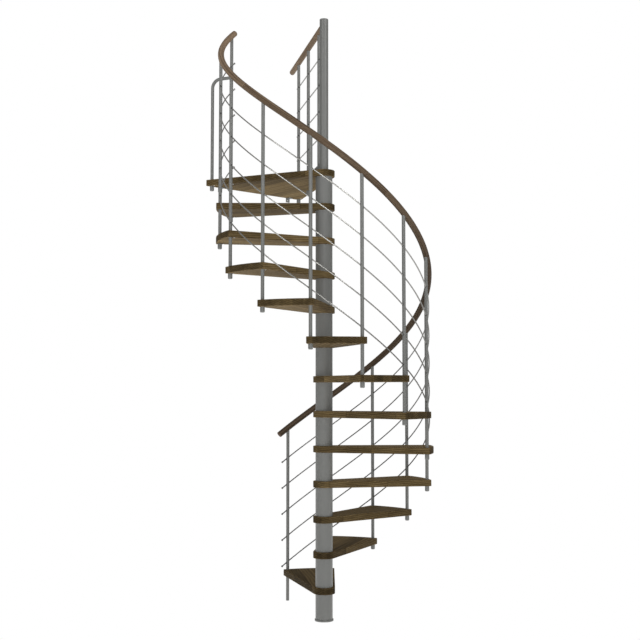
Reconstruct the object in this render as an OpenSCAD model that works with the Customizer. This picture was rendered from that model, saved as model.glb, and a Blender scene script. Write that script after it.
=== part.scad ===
// Spiral staircase: wooden treads and tube spacers threaded on one centre post,
// with a wedge landing, tube balusters, steel rods and a wooden handrail.
// The origin is the centre of the foot plate on the floor, and +Z is up.
// The stair climbs clockwise seen from above, so angles fall as it rises.

/* [Stair] */
// Height from the floor to the first tread's top
first_rise = 211.5; // [180:0.5:240]
// Height from one tread top to the next
rise = 223.5; // [200:0.5:240]
// Turn from one tread to the next, in degrees
step_angle = 26.1; // [23:0.1:29]
// Treads below the landing
tread_count = 12; // [8:1:12]
// Direction of the first baluster from the post, in degrees from +X
first_angle = 112.1; // [0:0.1:360]
// Distance from the post's axis to the stair balusters
baluster_circle = 676; // [540:1:850]

/* [Treads] */
// Thickness of the treads and the landing
tread_thickness = 41; // [30:1:60]
// Radius of the round end of a tread about the post
hub_radius = 70; // [62:1:95]
// Wood from a baluster's axis to the tread's side edge
side_margin = 25; // [18:1:40]
// Wood from a baluster's axis to the outer edge
end_margin = 25; // [18:1:40]
// Radius of the tread's plan corners
corner_radius = 9; // [2:1:14]

/* [Landing] */
// Turn from the last stair baluster to the landing railing, in degrees
landing_turn = 55.8; // [50:0.1:75]
// Distance of the outermost landing baluster beyond the stair balusters
landing_reach = 144; // [110:1:300]
// Distance between landing balusters
landing_spacing = 335; // [250:1:350]
// Number of landing balusters
landing_baluster_count = 3; // [1:1:3]
// Length of the landing rail beyond its last baluster
landing_rail_overhang = 240; // [40:1:400]

/* [Centre column] */
// Outer diameter of the centre post
post_diameter = 57; // [45:1:76]
// Wall of the centre post
post_wall = 3; // [2:0.5:5]
// Height of the post above the landing, without its cap
post_above_landing = 1010; // [900:1:1200]
// Radius of the dome on the post's cap
cap_dome_radius = 70; // [50:1:120]
// Depth of the post cap's plug in the tube
cap_plug_depth = 18; // [8:1:40]
// Outer diameter of the spacer tubes
spacer_diameter = 110; // [90:1:120]
// Wall of the spacer tubes
spacer_wall = 2.5; // [1.5:0.5:5]
// Gap round the post in the treads
post_clearance = 0.5; // [0.2:0.1:1]

/* [Foot] */
// Diameter of the foot plate
foot_diameter = 120; // [100:1:200]
// Thickness of the foot plate
foot_thickness = 10; // [6:1:20]
// Height of the foot's spigot inside the post
foot_spigot_height = 30; // [10:1:60]
// Diameter of the circle of floor bolts
bolt_circle = 82; // [76:1:90]
// Diameter of a floor bolt's hole
bolt_hole = 9; // [6:0.5:12]

/* [Railing] */
// Outer diameter of the balusters and of the hoop
baluster_diameter = 22; // [18:1:30]
// Wall of the balusters and of the hoop
baluster_wall = 2; // [1.5:0.5:3]
// Gap round a baluster in its hole
baluster_clearance = 0.3; // [0.1:0.1:0.8]
// Height of the handrail's centre above the tread in front of a baluster
rail_height = 986; // [850:1:1100]
// Height of the landing rail's centre above the landing
landing_rail_height = 975; // [850:1:1100]
// Diameter of the wooden handrail
rail_diameter = 40; // [35:1:50]
// Turn of the handrail beyond the first baluster, in degrees
rail_low_overhang = 5.4; // [4.5:0.1:10]
// Turn of the handrail beyond the last baluster, in degrees
rail_high_overhang = 3.2; // [3:0.1:10]
// Gap between a baluster's shaped end and what it meets
saddle_gap = 0.4; // [0.2:0.1:0.8]
// Thickness of the rim of a handrail's end cap
rail_cap_rim = 4; // [2:0.5:8]
// Height of the dome of a handrail's end cap
rail_cap_dome = 4; // [2:0.5:8]

/* [Hoop] */
// Height of the hoop's centre line above the landing
hoop_height = 696; // [500:1:850]
// Bend radius of the hoop's centre line
hoop_bend = 60; // [40:1:90]

/* [End caps] */
// Outer diameter of a baluster's end cap
end_cap_diameter = 28; // [26:1:40]
// Length of a baluster's end cap under the wood
end_cap_length = 35; // [20:1:50]
// Thickness of an end cap's bottom
end_cap_bottom = 4; // [2:0.5:8]
// Depth of the first baluster's foot plug in its tube
foot_plug_depth = 16; // [8:1:30]

/* [Rods] */
// Diameter of the steel rods
rod_diameter = 8; // [4:0.5:10]
// Number of rods between handrail and treads
rod_count = 5; // [5]
// Distance from the handrail's centre down to the first rod
rod_drop = 210; // [150:1:260]
// Distance from the landing rail's centre down to its first rod
landing_rod_drop = 185; // [130:1:240]
// Vertical distance between rods
rod_spacing = 180; // [120:1:185]
// Gap round a rod in a baluster
rod_clearance = 0.6; // [0.4:0.1:1]
// Length of a rod beyond its last baluster
rod_overhang = 42; // [25:1:50]
// Diameter of the ball on a rod's end
rod_ball = 13; // [11:0.5:16]

/* [Landing fixings] */
// Leg of the gusset along the landing
gusset_length = 95; // [60:1:120]
// Leg of the gusset up the post
gusset_height = 66; // [40:1:100]
// Thickness of the gusset
gusset_thickness = 8; // [4:1:12]
// Distance of a wall bracket from the landing's middle
bracket_offset = 300; // [150:1:340]
// Width of a wall bracket
bracket_width = 32; // [24:1:60]
// Leg of a wall bracket under the wood
bracket_leg = 42; // [30:1:60]
// Height of a wall bracket below the wood
bracket_drop = 30; // [24:1:60]
// Thickness of a wall bracket
bracket_thickness = 5; // [3:1:8]
// Diameter of the bolt hole in a wall bracket
bracket_hole = 9; // [6:0.5:12]

/* [Hidden] */
$fn = 48;
cut = 1;                      // how far a cutting shape runs past the face it cuts
last = tread_count;           // index of the last stair baluster
landing_z = tread_top(tread_count + 1);
landing_circle = baluster_circle + landing_reach;
climb = rise / step_angle;    // height gained for each degree turned
slope = atan(rise / (baluster_circle * step_angle * PI / 180));
landing_end_angle = baluster_angle(last) - landing_turn;
landing_middle_angle = baluster_angle(last) - landing_turn / 2;
landing_edge = landing_circle * cos(landing_turn / 2) + end_margin;
rail_low_angle = first_angle + rail_low_overhang;
rail_high_angle = baluster_angle(last) - rail_high_overhang;
rail_joint_angles = [rail_low_angle, baluster_angle(0.29 * last), baluster_angle(0.54 * last),
                     baluster_angle(0.79 * last), rail_high_angle];
rail_section_count = len(rail_joint_angles) - 1;
rod_overhang_angle = rod_overhang / (baluster_circle * PI / 180);
bend_step = step_angle / 6;   // length of one straight facet of a curved bar
edge_steps = 12;              // straight facets along a tread's outer edge
bore = baluster_diameter + 2 * baluster_clearance;

function two_digits(n) = n < 10 ? str("0", n) : str(n);
function tread_name(n) = str("tread_", two_digits(n));
function rail_name(s) = str("handrail_", s);
function rod_name(r) = str("stair_rod_", r);

function direction(a) = [cos(a), sin(a)];
function baluster_angle(k) = first_angle - k * step_angle;
function helix_height(start, a) = start + (first_angle - a) * climb;
function tread_top(n) = first_rise + (n - 1) * rise;
function rail_start() = tread_top(1) + rail_height;          // rail centre at baluster 0
function rod_below_rail(r) = rod_drop + (r - 1) * rod_spacing;
function rod_below_landing_rail(r) = landing_rod_drop + (r - 1) * rod_spacing;
function landing_baluster_radius(i) = landing_circle - (i - 1) * landing_spacing;

// Where the lines n1.p = d1 and n2.p = d2 cross, each normal given by its angle
function line_meet(a1, d1, a2, d2) =
    [d1 * sin(a2) - d2 * sin(a1), d2 * cos(a1) - d1 * cos(a2)] / sin(a2 - a1);

function arc_points(centre, radius, from, to, steps) =
    [for (i = [0:steps]) centre + radius * direction(from + (to - from) * i / steps)];

// A wedge whose sides touch the hub circle and pass side_margin outside the holes, cut off straight
function wedge_outline(front, rear, circle, edge) =
    let (lean = acos((hub_radius - side_margin) / circle),
         middle = (front + rear) / 2,
         inner = hub_radius - corner_radius,
         outer = edge - corner_radius,
         front_corner = line_meet(front + lean, inner, middle, outer),
         rear_corner = line_meet(rear - lean, inner, middle, outer))
    concat(arc_points(front_corner, corner_radius, front + lean, middle, 6),
           arc_points(rear_corner, corner_radius, middle, rear - lean, 6),
           arc_points([0, 0], hub_radius, rear - lean, front + lean - 360, 24));

// The same wedge, but its outer edge is an arc about the post
function tread_outline(front, rear, circle, outer) =
    let (lean = acos((hub_radius - side_margin) / circle),
         reach = acos((hub_radius - corner_radius) / (outer - corner_radius)),
         front_turn = front + lean - reach,
         rear_turn = rear - lean + reach,
         front_corner = (outer - corner_radius) * direction(front_turn),
         rear_corner = (outer - corner_radius) * direction(rear_turn))
    concat(arc_points(front_corner, corner_radius, front + lean, front_turn, 6),
           [for (i = [1:edge_steps - 1])
               outer * direction(front_turn + (rear_turn - front_turn) * i / edge_steps)],
           arc_points(rear_corner, corner_radius, rear_turn, rear - lean, 6),
           arc_points([0, 0], hub_radius, rear - lean, front + lean - 360, 24));

module at_polar(radius, angle, z) {
    translate([radius * cos(angle), radius * sin(angle), z]) children();
}

// Puts local +Z along the climbing handrail or rod at the given angle
module along_helix(angle, z) {
    at_polar(baluster_circle, angle, z)
        rotate([0, 0, angle - 90]) rotate([0, -slope, 0]) rotate([0, 90, 0]) children();
}

// Puts local +Z level and outwards along the landing railing
module along_landing(radius, z) {
    at_polar(radius, landing_end_angle, z)
        rotate([0, 0, landing_end_angle]) rotate([0, 90, 0]) children();
}

module tube(outer, wall, height) {
    difference() {
        cylinder(d = outer, h = height);
        translate([0, 0, -cut]) cylinder(d = outer - 2 * wall, h = height + 2 * cut);
    }
}

// A round bar bent along the climb, closed by flat ends square to its run
module helix_bar(diameter, start, from, to, sides) {
    steps = ceil((from - to) / bend_step - 0.01);
    rings = [for (i = [0:steps])
        let (a = from + (to - from) * i / steps,
             centre = [baluster_circle * cos(a), baluster_circle * sin(a), helix_height(start, a)],
             outwards = [cos(a), sin(a), 0],
             forwards = [sin(a) * cos(slope), -cos(a) * cos(slope), sin(slope)],
             across = cross(forwards, outwards))
        for (k = [0:sides - 1])
            centre + diameter / 2 * (outwards * cos(360 * k / sides) + across * sin(360 * k / sides))];
    skin = [for (i = [0:steps - 1]) for (k = [0:sides - 1])
        let (a = i * sides + k, b = i * sides + (k + 1) % sides)
        each [[a, a + sides, b + sides], [a, b + sides, b]]];
    near_end = [for (k = [0:sides - 1]) k];
    far_end = [for (k = [sides - 1:-1:0]) steps * sides + k];
    polyhedron(points = rings, faces = concat([near_end], skin, [far_end]));
}

module paint() { color("#747572") children(); }
module walnut() { color("#6b5238") children(); }
module rail_wood() { color("#77604f") children(); }
module steel() { color("#b9bcbd") children(); }

module foot_plate() paint() {
    difference() {
        cylinder(d = foot_diameter, h = foot_thickness);
        for (i = [0:3])
            at_polar(bolt_circle / 2, 45 + 90 * i, -cut)
                cylinder(d = bolt_hole, h = foot_thickness + 2 * cut);
    }
    translate([0, 0, foot_thickness])
        cylinder(d = post_diameter - 2 * post_wall - 2 * post_clearance, h = foot_spigot_height);
}

module centre_post() paint() {
    translate([0, 0, foot_thickness])
        tube(post_diameter, post_wall, landing_z + post_above_landing - foot_thickness);
}

module post_cap() paint() {
    dome_drop = sqrt(pow(cap_dome_radius, 2) - pow(post_diameter / 2, 2));
    translate([0, 0, landing_z + post_above_landing]) {
        intersection() {
            translate([0, 0, -dome_drop]) sphere(r = cap_dome_radius, $fn = 96);
            cylinder(d = post_diameter, h = cap_dome_radius);
        }
        translate([0, 0, -cap_plug_depth])
            cylinder(d = post_diameter - 2 * post_wall - 2 * post_clearance, h = cap_plug_depth);
    }
}

module column_spacers() paint() {
    for (n = [1:tread_count + 1]) {
        bottom = n == 1 ? foot_thickness : tread_top(n - 1);
        translate([0, 0, bottom])
            tube(spacer_diameter, spacer_wall, tread_top(n) - tread_thickness - bottom);
    }
}

module post_bore(z) {
    translate([0, 0, z - tread_thickness - cut])
        cylinder(d = post_diameter + 2 * post_clearance, h = tread_thickness + 2 * cut);
}

module baluster_bore(radius, angle, z) {
    at_polar(radius, angle, z - tread_thickness - cut)
        cylinder(d = bore, h = tread_thickness + 2 * cut);
}

module tread(n) walnut() {
    front = baluster_angle(n - 1);
    rear = baluster_angle(n);
    difference() {
        translate([0, 0, tread_top(n) - tread_thickness])
            linear_extrude(tread_thickness)
                polygon(tread_outline(front, rear, baluster_circle, baluster_circle + end_margin));
        post_bore(tread_top(n));
        baluster_bore(baluster_circle, front, tread_top(n));
        baluster_bore(baluster_circle, rear, tread_top(n));
    }
}

module landing() walnut() {
    difference() {
        translate([0, 0, landing_z - tread_thickness])
            linear_extrude(tread_thickness)
                polygon(wedge_outline(baluster_angle(last), landing_end_angle,
                                      landing_circle, landing_edge));
        post_bore(landing_z);
        baluster_bore(baluster_circle, baluster_angle(last), landing_z);
        baluster_bore(landing_circle, baluster_angle(last), landing_z);
        for (i = [1:landing_baluster_count])
            baluster_bore(landing_baluster_radius(i), landing_end_angle, landing_z);
    }
}

module landing_gusset() paint() {
    translate([0, 0, landing_z]) rotate([0, 0, landing_middle_angle]) difference() {
        rotate([90, 0, 0]) translate([0, 0, -gusset_thickness / 2])
            linear_extrude(gusset_thickness)
                polygon([[0, 0], [post_diameter / 2 + gusset_length, 0],
                         [post_diameter / 2, gusset_height], [0, gusset_height]]);
        translate([0, 0, -cut])
            cylinder(d = post_diameter + 2 * saddle_gap, h = gusset_height + 2 * cut);
    }
}

module landing_brackets() paint() {
    under = landing_z - tread_thickness;
    for (side = [-1, 1]) rotate([0, 0, landing_middle_angle])
        translate([landing_edge, side * bracket_offset, under]) {
            translate([-bracket_leg, -bracket_width / 2, -bracket_thickness])
                cube([bracket_leg, bracket_width, bracket_thickness]);
            difference() {
                translate([-bracket_thickness, -bracket_width / 2, -bracket_drop])
                    cube([bracket_thickness, bracket_width, bracket_drop]);
                translate([-bracket_thickness - cut, 0, -(bracket_drop + bracket_thickness) / 2])
                    rotate([0, 90, 0]) cylinder(d = bracket_hole, h = bracket_thickness + 2 * cut);
            }
        }
}

// A baluster's shaped top and its rod holes, cut along the climb
module climbing_cuts(angle, rail_z) {
    along_helix(angle, rail_z) translate([0, 0, -2 * rail_diameter])
        cylinder(r = rail_diameter / 2 + saddle_gap, h = 4 * rail_diameter);
    for (r = [1:rod_count])
        along_helix(angle, rail_z - rod_below_rail(r)) translate([0, 0, -baluster_diameter])
            cylinder(r = rod_diameter / 2 + rod_clearance, h = 2 * baluster_diameter);
}

module stair_balusters() paint() {
    for (k = [0:last]) {
        bottom = k == 0 ? end_cap_bottom
                        : tread_top(k) - tread_thickness - end_cap_length + end_cap_bottom;
        rail_z = k * rise + rail_start();
        difference() {
            at_polar(baluster_circle, baluster_angle(k), bottom)
                tube(baluster_diameter, baluster_wall, rail_z - bottom);
            climbing_cuts(baluster_angle(k), rail_z);
        }
    }
}

module landing_balusters() paint() {
    bottom = landing_z - tread_thickness - end_cap_length + end_cap_bottom;
    rail_z = landing_z + landing_rail_height;
    for (i = [1:landing_baluster_count]) {
        radius = landing_baluster_radius(i);
        difference() {
            at_polar(radius, landing_end_angle, bottom)
                tube(baluster_diameter, baluster_wall, rail_z - bottom);
            along_landing(radius, rail_z) translate([0, 0, -2 * rail_diameter])
                cylinder(r = rail_diameter / 2 + saddle_gap, h = 4 * rail_diameter);
            for (r = [1:rod_count])
                along_landing(radius, rail_z - rod_below_landing_rail(r))
                    translate([0, 0, -baluster_diameter])
                        cylinder(r = rod_diameter / 2 + rod_clearance, h = 2 * baluster_diameter);
        }
    }
}

// The hoop's centre line: up the leg, round the bend and level to the last baluster
module hoop_bar(diameter) {
    bottom = -tread_thickness - end_cap_length + end_cap_bottom;
    run = landing_circle - baluster_circle;
    translate([0, 0, bottom]) cylinder(d = diameter, h = hoop_height - hoop_bend - bottom);
    translate([-hoop_bend, 0, hoop_height - hoop_bend]) rotate([90, 0, 0])
        rotate_extrude(angle = 90) translate([hoop_bend, 0]) circle(d = diameter);
    translate([-run, 0, hoop_height]) rotate([0, 90, 0]) cylinder(d = diameter, h = run - hoop_bend);
}

module landing_hoop() paint() {
    difference() {
        translate([0, 0, landing_z]) rotate([0, 0, baluster_angle(last)])
            translate([landing_circle, 0, 0]) hoop_bar(baluster_diameter);
        at_polar(baluster_circle, baluster_angle(last), landing_z)
            cylinder(d = baluster_diameter + 2 * saddle_gap, h = 2 * hoop_height);
    }
}

module end_cap() {
    difference() {
        translate([0, 0, -end_cap_length]) cylinder(d = end_cap_diameter, h = end_cap_length);
        translate([0, 0, -end_cap_length + end_cap_bottom]) cylinder(d = bore, h = end_cap_length);
    }
}

module baluster_end_caps() paint() {
    for (k = [1:last])
        at_polar(baluster_circle, baluster_angle(k), tread_top(k) - tread_thickness) end_cap();
    at_polar(landing_circle, baluster_angle(last), landing_z - tread_thickness) end_cap();
    for (i = [1:landing_baluster_count])
        at_polar(landing_baluster_radius(i), landing_end_angle, landing_z - tread_thickness) end_cap();
}

module first_baluster_foot() paint() {
    at_polar(baluster_circle, first_angle, 0) {
        cylinder(d = baluster_diameter, h = end_cap_bottom);
        cylinder(d = baluster_diameter - 2 * baluster_wall - 2 * baluster_clearance,
                 h = end_cap_bottom + foot_plug_depth);
    }
}

module handrail(s) rail_wood() {
    helix_bar(rail_diameter, rail_start(), rail_joint_angles[s - 1], rail_joint_angles[s], 20);
}

module landing_rail() rail_wood() {
    rail_z = landing_z + landing_rail_height;
    difference() {
        along_landing(0, rail_z)
            cylinder(d = rail_diameter, h = landing_circle + landing_rail_overhang);
        translate([0, 0, landing_z])
            cylinder(d = post_diameter + 2 * saddle_gap, h = post_above_landing + rail_diameter);
    }
}

// A rim as wide as the rail with a low dome on it, pointing along +Z
module rail_cap() {
    cylinder(d = rail_diameter, h = rail_cap_rim);
    dome_radius = (pow(rail_diameter / 2, 2) + pow(rail_cap_dome, 2)) / (2 * rail_cap_dome);
    intersection() {
        translate([0, 0, rail_cap_rim + rail_cap_dome - dome_radius])
            sphere(r = dome_radius, $fn = 96);
        translate([0, 0, rail_cap_rim]) cylinder(d = rail_diameter, h = 2 * rail_cap_dome);
    }
}

module rail_end_caps() rail_wood() {
    along_helix(rail_low_angle, helix_height(rail_start(), rail_low_angle)) mirror([0, 0, 1]) rail_cap();
    along_helix(rail_high_angle, helix_height(rail_start(), rail_high_angle)) rail_cap();
    along_landing(landing_circle + landing_rail_overhang, landing_z + landing_rail_height) rail_cap();
}

module stair_rod(r) steel() {
    helix_bar(rod_diameter, rail_start() - rod_below_rail(r), first_angle + rod_overhang_angle,
              baluster_angle(last) - rod_overhang_angle, 8);
}

module landing_rods() steel() {
    near = post_diameter / 2 + saddle_gap;
    for (r = [1:rod_count])
        along_landing(near, landing_z + landing_rail_height - rod_below_landing_rail(r))
            cylinder(d = rod_diameter, h = landing_circle + rod_overhang - near);
}

// A ball whose blind hole takes the rod's end, with the rod coming from -Z
module rod_cap() {
    difference() {
        sphere(d = rod_ball, $fn = 32);
        translate([0, 0, -rod_ball]) cylinder(d = rod_diameter + 2 * saddle_gap, h = rod_ball);
    }
}

module rod_end_caps() steel() {
    low = first_angle + rod_overhang_angle;
    high = baluster_angle(last) - rod_overhang_angle;
    for (r = [1:rod_count]) {
        start = rail_start() - rod_below_rail(r);
        along_helix(low, helix_height(start, low)) mirror([0, 0, 1]) rod_cap();
        along_helix(high, helix_height(start, high)) rod_cap();
        along_landing(landing_circle + rod_overhang,
                      landing_z + landing_rail_height - rod_below_landing_rail(r)) rod_cap();
    }
}

foot_plate();
centre_post();
post_cap();
column_spacers();
for (n = [1:tread_count]) tread(n);
landing();
landing_gusset();
landing_brackets();
stair_balusters();
landing_balusters();
landing_hoop();
baluster_end_caps();
first_baluster_foot();
for (s = [1:rail_section_count]) handrail(s);
landing_rail();
rail_end_caps();
for (r = [1:rod_count]) stair_rod(r);
landing_rods();
rod_end_caps();
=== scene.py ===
import math

import bmesh
import bpy
import numpy as np
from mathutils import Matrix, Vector
from mathutils.geometry import tessellate_polygon


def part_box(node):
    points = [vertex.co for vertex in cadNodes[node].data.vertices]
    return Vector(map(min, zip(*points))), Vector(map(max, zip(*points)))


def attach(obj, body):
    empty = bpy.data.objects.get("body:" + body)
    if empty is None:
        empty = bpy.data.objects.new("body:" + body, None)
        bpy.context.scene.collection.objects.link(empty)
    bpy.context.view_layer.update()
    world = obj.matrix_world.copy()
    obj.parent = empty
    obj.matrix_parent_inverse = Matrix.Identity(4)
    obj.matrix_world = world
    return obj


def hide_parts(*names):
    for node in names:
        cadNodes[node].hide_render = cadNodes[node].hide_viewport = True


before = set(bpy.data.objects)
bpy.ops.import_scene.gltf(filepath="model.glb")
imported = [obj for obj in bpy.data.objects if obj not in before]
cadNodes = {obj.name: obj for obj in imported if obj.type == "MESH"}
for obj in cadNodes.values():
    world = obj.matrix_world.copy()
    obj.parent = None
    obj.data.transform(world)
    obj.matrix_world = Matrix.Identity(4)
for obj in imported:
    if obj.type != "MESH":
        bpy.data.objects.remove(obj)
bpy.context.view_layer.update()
scene = bpy.context.scene
print("frame loaded:", len(cadNodes), "parts")


closeness = {"merge": 1e-6, "level": 1e-5, "pole": 1e-7}    # metres
sharpAngle = {"bars": 40, "turned": 32, "eased": 32, "boards": 50, "screws": 45}    # degrees


def newObject(name, data):
    made = bpy.data.objects.new(name, data)
    scene.collection.objects.link(made)
    return made


def mergedMesh(node):
    # a merged copy, because the frame's meshes are loose triangles
    bm = bmesh.new()
    bm.from_mesh(cadNodes[node].data)
    bmesh.ops.remove_doubles(bm, verts=bm.verts, dist=closeness["merge"])
    return bm


def solidsOf(node):
    # the corner points of each separate solid, lowest solid first
    bm = mergedMesh(node)
    seen, solids = set(), []
    for start in bm.verts:
        if start in seen:
            continue
        seen.add(start)
        stack, found = [start], []
        while stack:
            vert = stack.pop()
            found.append(tuple(vert.co))
            for edge in vert.link_edges:
                other = edge.other_vert(vert)
                if other not in seen:
                    seen.add(other)
                    stack.append(other)
        solids.append(np.array(found))
    bm.free()
    return sorted(solids, key=lambda points: points[:, 2].min())


def middleOf(points):
    return (points.min(0) + points.max(0)) / 2


def topLoops(node):
    # a board's outline, the (centre, radius) of each hole with the hub's first, and its two levels
    bm = mergedMesh(node)
    top = max(v.co.z for v in bm.verts)
    bottom = min(v.co.z for v in bm.verts)
    faces = {f for f in bm.faces if all(abs(v.co.z - top) < closeness["level"] for v in f.verts)}
    border = [e for e in bm.edges if sum(f in faces for f in e.link_faces) == 1]
    nextOf = {}
    for edge in border:
        for vert in edge.verts:
            nextOf.setdefault(vert, []).append(edge.other_vert(vert))
    loops, used = [], set()
    for start in nextOf:
        if start in used:
            continue
        loop, vert, previous = [], start, None
        while vert not in used:
            used.add(vert)
            loop.append(Vector(vert.co[:2]))
            ahead = [v for v in nextOf[vert] if v is not previous]
            previous, vert = vert, ahead[0]
        loops.append(loop)
    bm.free()
    loops.sort(key=lambda l: -sum((l[i] - l[i - 1]).length for i in range(len(l))))
    outer = loops[0]
    area = sum(outer[i - 1].cross(outer[i]) for i in range(len(outer)))
    if area < 0:
        outer.reverse()
    holes = []
    for loop in loops[1:]:
        centre = sum(loop, Vector((0, 0))) / len(loop)
        holes.append((centre, sum((p - centre).length for p in loop) / len(loop)))
    holes.sort(key=lambda hole: hole[0].length)
    return outer, holes, bottom, top


# the stair's own rule, read from its balusters
balusterSolids = solidsOf("stair_balusters")
balusterAxes = [middleOf(s)[:2] for s in balusterSolids]
balusterAngles = np.degrees(np.unwrap([math.atan2(a[1], a[0]) for a in balusterAxes]))
stair = {
    "circle": float(np.mean([np.hypot(*a) for a in balusterAxes])),
    "firstAngle": float(balusterAngles[0]),
    "climb": float((balusterSolids[-1][:, 2].min() - balusterSolids[1][:, 2].min())
                   / (balusterAngles[1] - balusterAngles[-1])),
    "balusterRadius": float(np.ptp(balusterSolids[0][:, 0]) / 2),
}
stair["slope"] = math.atan(stair["climb"] / (stair["circle"] * math.pi / 180))


def helixOf(node):
    # (height at the first baluster, low end's angle, high end's angle) of a bar that follows the climb
    points = np.concatenate(solidsOf(node))
    turn = np.degrees(np.arctan2(points[:, 1], points[:, 0]))
    base = balusterSolids[0][:, 2].max() - 0.5
    guess = stair["firstAngle"] - (points[:, 2] - base) / stair["climb"]
    turn = turn + 360 * np.round((guess - turn) / 360)
    start = float(np.mean(points[:, 2] - (stair["firstAngle"] - turn) * stair["climb"]))
    return start, float(turn.max()), float(turn.min())


def axisEnds(node, radius):
    # a square-cut end of a climbing bar reaches past its axis, so the axis is a little shorter
    start, lowEnd, highEnd = helixOf(node)
    past = math.degrees(math.atan(radius * math.sin(stair["slope"]) / stair["circle"]))
    return start, lowEnd - past, highEnd + past


def helixPoint(start, angle):
    a = math.radians(angle)
    return Vector((stair["circle"] * math.cos(a), stair["circle"] * math.sin(a),
                   start + (stair["firstAngle"] - angle) * stair["climb"]))


def helixRun(angle):
    # the direction uphill
    a = math.radians(angle)
    level = math.cos(stair["slope"])
    return Vector((math.sin(a) * level, -math.cos(a) * level, math.sin(stair["slope"])))


def feed(tree, socket, value):
    # a socket takes either a link or a fixed value
    if isinstance(value, bpy.types.NodeSocket):
        tree.links.new(value, socket)
    else:
        socket.default_value = value


def addNode(tree, kind, feeds=None, **settings):
    node = tree.nodes.new(kind)
    for key, value in settings.items():
        setattr(node, key, value)
    for key, value in (feeds or {}).items():
        feed(tree, node.inputs[key], value)
    return node


def pointValues(mesh, name, values, kind="FLOAT"):
    field = "value" if kind == "FLOAT" else "vector"
    mesh.attributes.new(name, kind, "POINT").data.foreach_set(field, values)


def storedValue(tree, name, kind="FLOAT"):
    node = addNode(tree, "GeometryNodeInputNamedAttribute", {"Name": name}, data_type=kind)
    return node.outputs["Attribute"]


def storeValue(tree, geometry, name, value, kind="FLOAT"):
    node = addNode(tree, "GeometryNodeStoreNamedAttribute", {
        "Geometry": geometry, "Name": name, "Value": value}, data_type=kind, domain="POINT")
    return node.outputs["Geometry"]


def finishTree(tree, geometry, finish, out):
    # the export drops instances, so every tree ends like this
    real = addNode(tree, "GeometryNodeRealizeInstances", {"Geometry": geometry})
    done = addNode(tree, "GeometryNodeSetMaterial", {
        "Geometry": real.outputs["Geometry"], "Material": finish})
    tree.links.new(done.outputs["Geometry"], out["Geometry"])
    return tree


def newShapeTree(name, inputs):
    tree = bpy.data.node_groups.new(name, "GeometryNodeTree")
    tree.interface.new_socket("Geometry", in_out="INPUT", socket_type="NodeSocketGeometry")
    for label, kind in inputs.items():
        tree.interface.new_socket(label, in_out="INPUT", socket_type="NodeSocket" + kind)
    tree.interface.new_socket("Geometry", in_out="OUTPUT", socket_type="NodeSocketGeometry")
    return tree, tree.nodes.new("NodeGroupInput").outputs, tree.nodes.new("NodeGroupOutput").inputs


def makeSweepTree():
    # sweeps a round bar along each line of the mesh; "girth" on its points scales the bar there
    tree, given, out = newShapeTree("sweptBar", {
        "Radius": "Float", "Sides": "Int", "Grain Offset": "Vector", "Finish": "Material"})
    curve = addNode(tree, "GeometryNodeMeshToCurve", {"Mesh": given["Geometry"]}).outputs["Curve"]
    length = addNode(tree, "GeometryNodeSplineParameter").outputs["Length"]
    line = storeValue(tree, curve, "along", length)
    circle = addNode(tree, "GeometryNodeCurvePrimitiveCircle", {
        "Resolution": given["Sides"], "Radius": given["Radius"]}).outputs["Curve"]
    spot = addNode(tree, "GeometryNodeInputPosition").outputs["Position"]
    profile = storeValue(tree, circle, "section", spot, "FLOAT_VECTOR")
    swept = addNode(tree, "GeometryNodeCurveToMesh", {
        "Curve": line, "Profile Curve": profile, "Scale": storedValue(tree, "girth"), "Fill Caps": True})
    parts = addNode(tree, "ShaderNodeSeparateXYZ", {"Vector": storedValue(tree, "section", "FLOAT_VECTOR")})
    grain = addNode(tree, "ShaderNodeCombineXYZ", {
        "X": storedValue(tree, "along"), "Y": parts.outputs["X"], "Z": parts.outputs["Y"]})
    shifted = addNode(tree, "ShaderNodeVectorMath", {
        0: grain.outputs["Vector"], 1: given["Grain Offset"]}, operation="ADD").outputs["Vector"]
    grained = storeValue(tree, swept.outputs["Mesh"], "grain", shifted, "FLOAT_VECTOR")
    smooth = addNode(tree, "GeometryNodeSetShadeSmooth", {"Geometry": grained})
    return finishTree(tree, smooth.outputs["Geometry"], given["Finish"], out)


def makeScatterTree():
    # puts a copy of one small part on each point, its +Z along the point's "aim"
    tree, given, out = newShapeTree("repeatedPart", {"Part": "Object", "Finish": "Material"})
    part = addNode(tree, "GeometryNodeObjectInfo", {"Object": given["Part"]})
    turn = addNode(tree, "FunctionNodeAlignRotationToVector", {
        "Vector": storedValue(tree, "aim", "FLOAT_VECTOR")}, axis="Z")
    points = addNode(tree, "GeometryNodeMeshToPoints", {"Mesh": given["Geometry"]})
    copies = addNode(tree, "GeometryNodeInstanceOnPoints", {
        "Points": points.outputs["Points"], "Instance": part.outputs["Geometry"],
        "Rotation": turn.outputs["Rotation"]})
    return finishTree(tree, copies.outputs["Instances"], given["Finish"], out)


sweepTree = makeSweepTree()
scatterTree = makeScatterTree()


def finishedMesh(source, name):
    # the object's mesh as its modifiers leave it
    graph = bpy.context.evaluated_depsgraph_get()
    result = bpy.data.meshes.new_from_object(source.evaluated_get(graph))
    source.modifiers.clear()
    bpy.data.objects.remove(source)
    result.name = name
    return result


def throughTree(name, mesh, tree, values):
    source = newObject(name + "Source", mesh)
    modifier = source.modifiers.new("shape", "NODES")
    modifier.node_group = tree
    for item in tree.interface.items_tree:
        if item.in_out == "INPUT" and item.name in values:
            modifier[item.identifier] = values[item.name]
    result = finishedMesh(source, name)
    for extra in ("along", "section", "girth", "aim"):
        if extra in result.attributes:
            result.attributes.remove(result.attributes[extra])
    return result


def place(name, mesh, slot, *nodes):
    piece = newObject(name, mesh)
    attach(piece, "root")
    if nodes:
        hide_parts(*nodes)
    return piece


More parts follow.
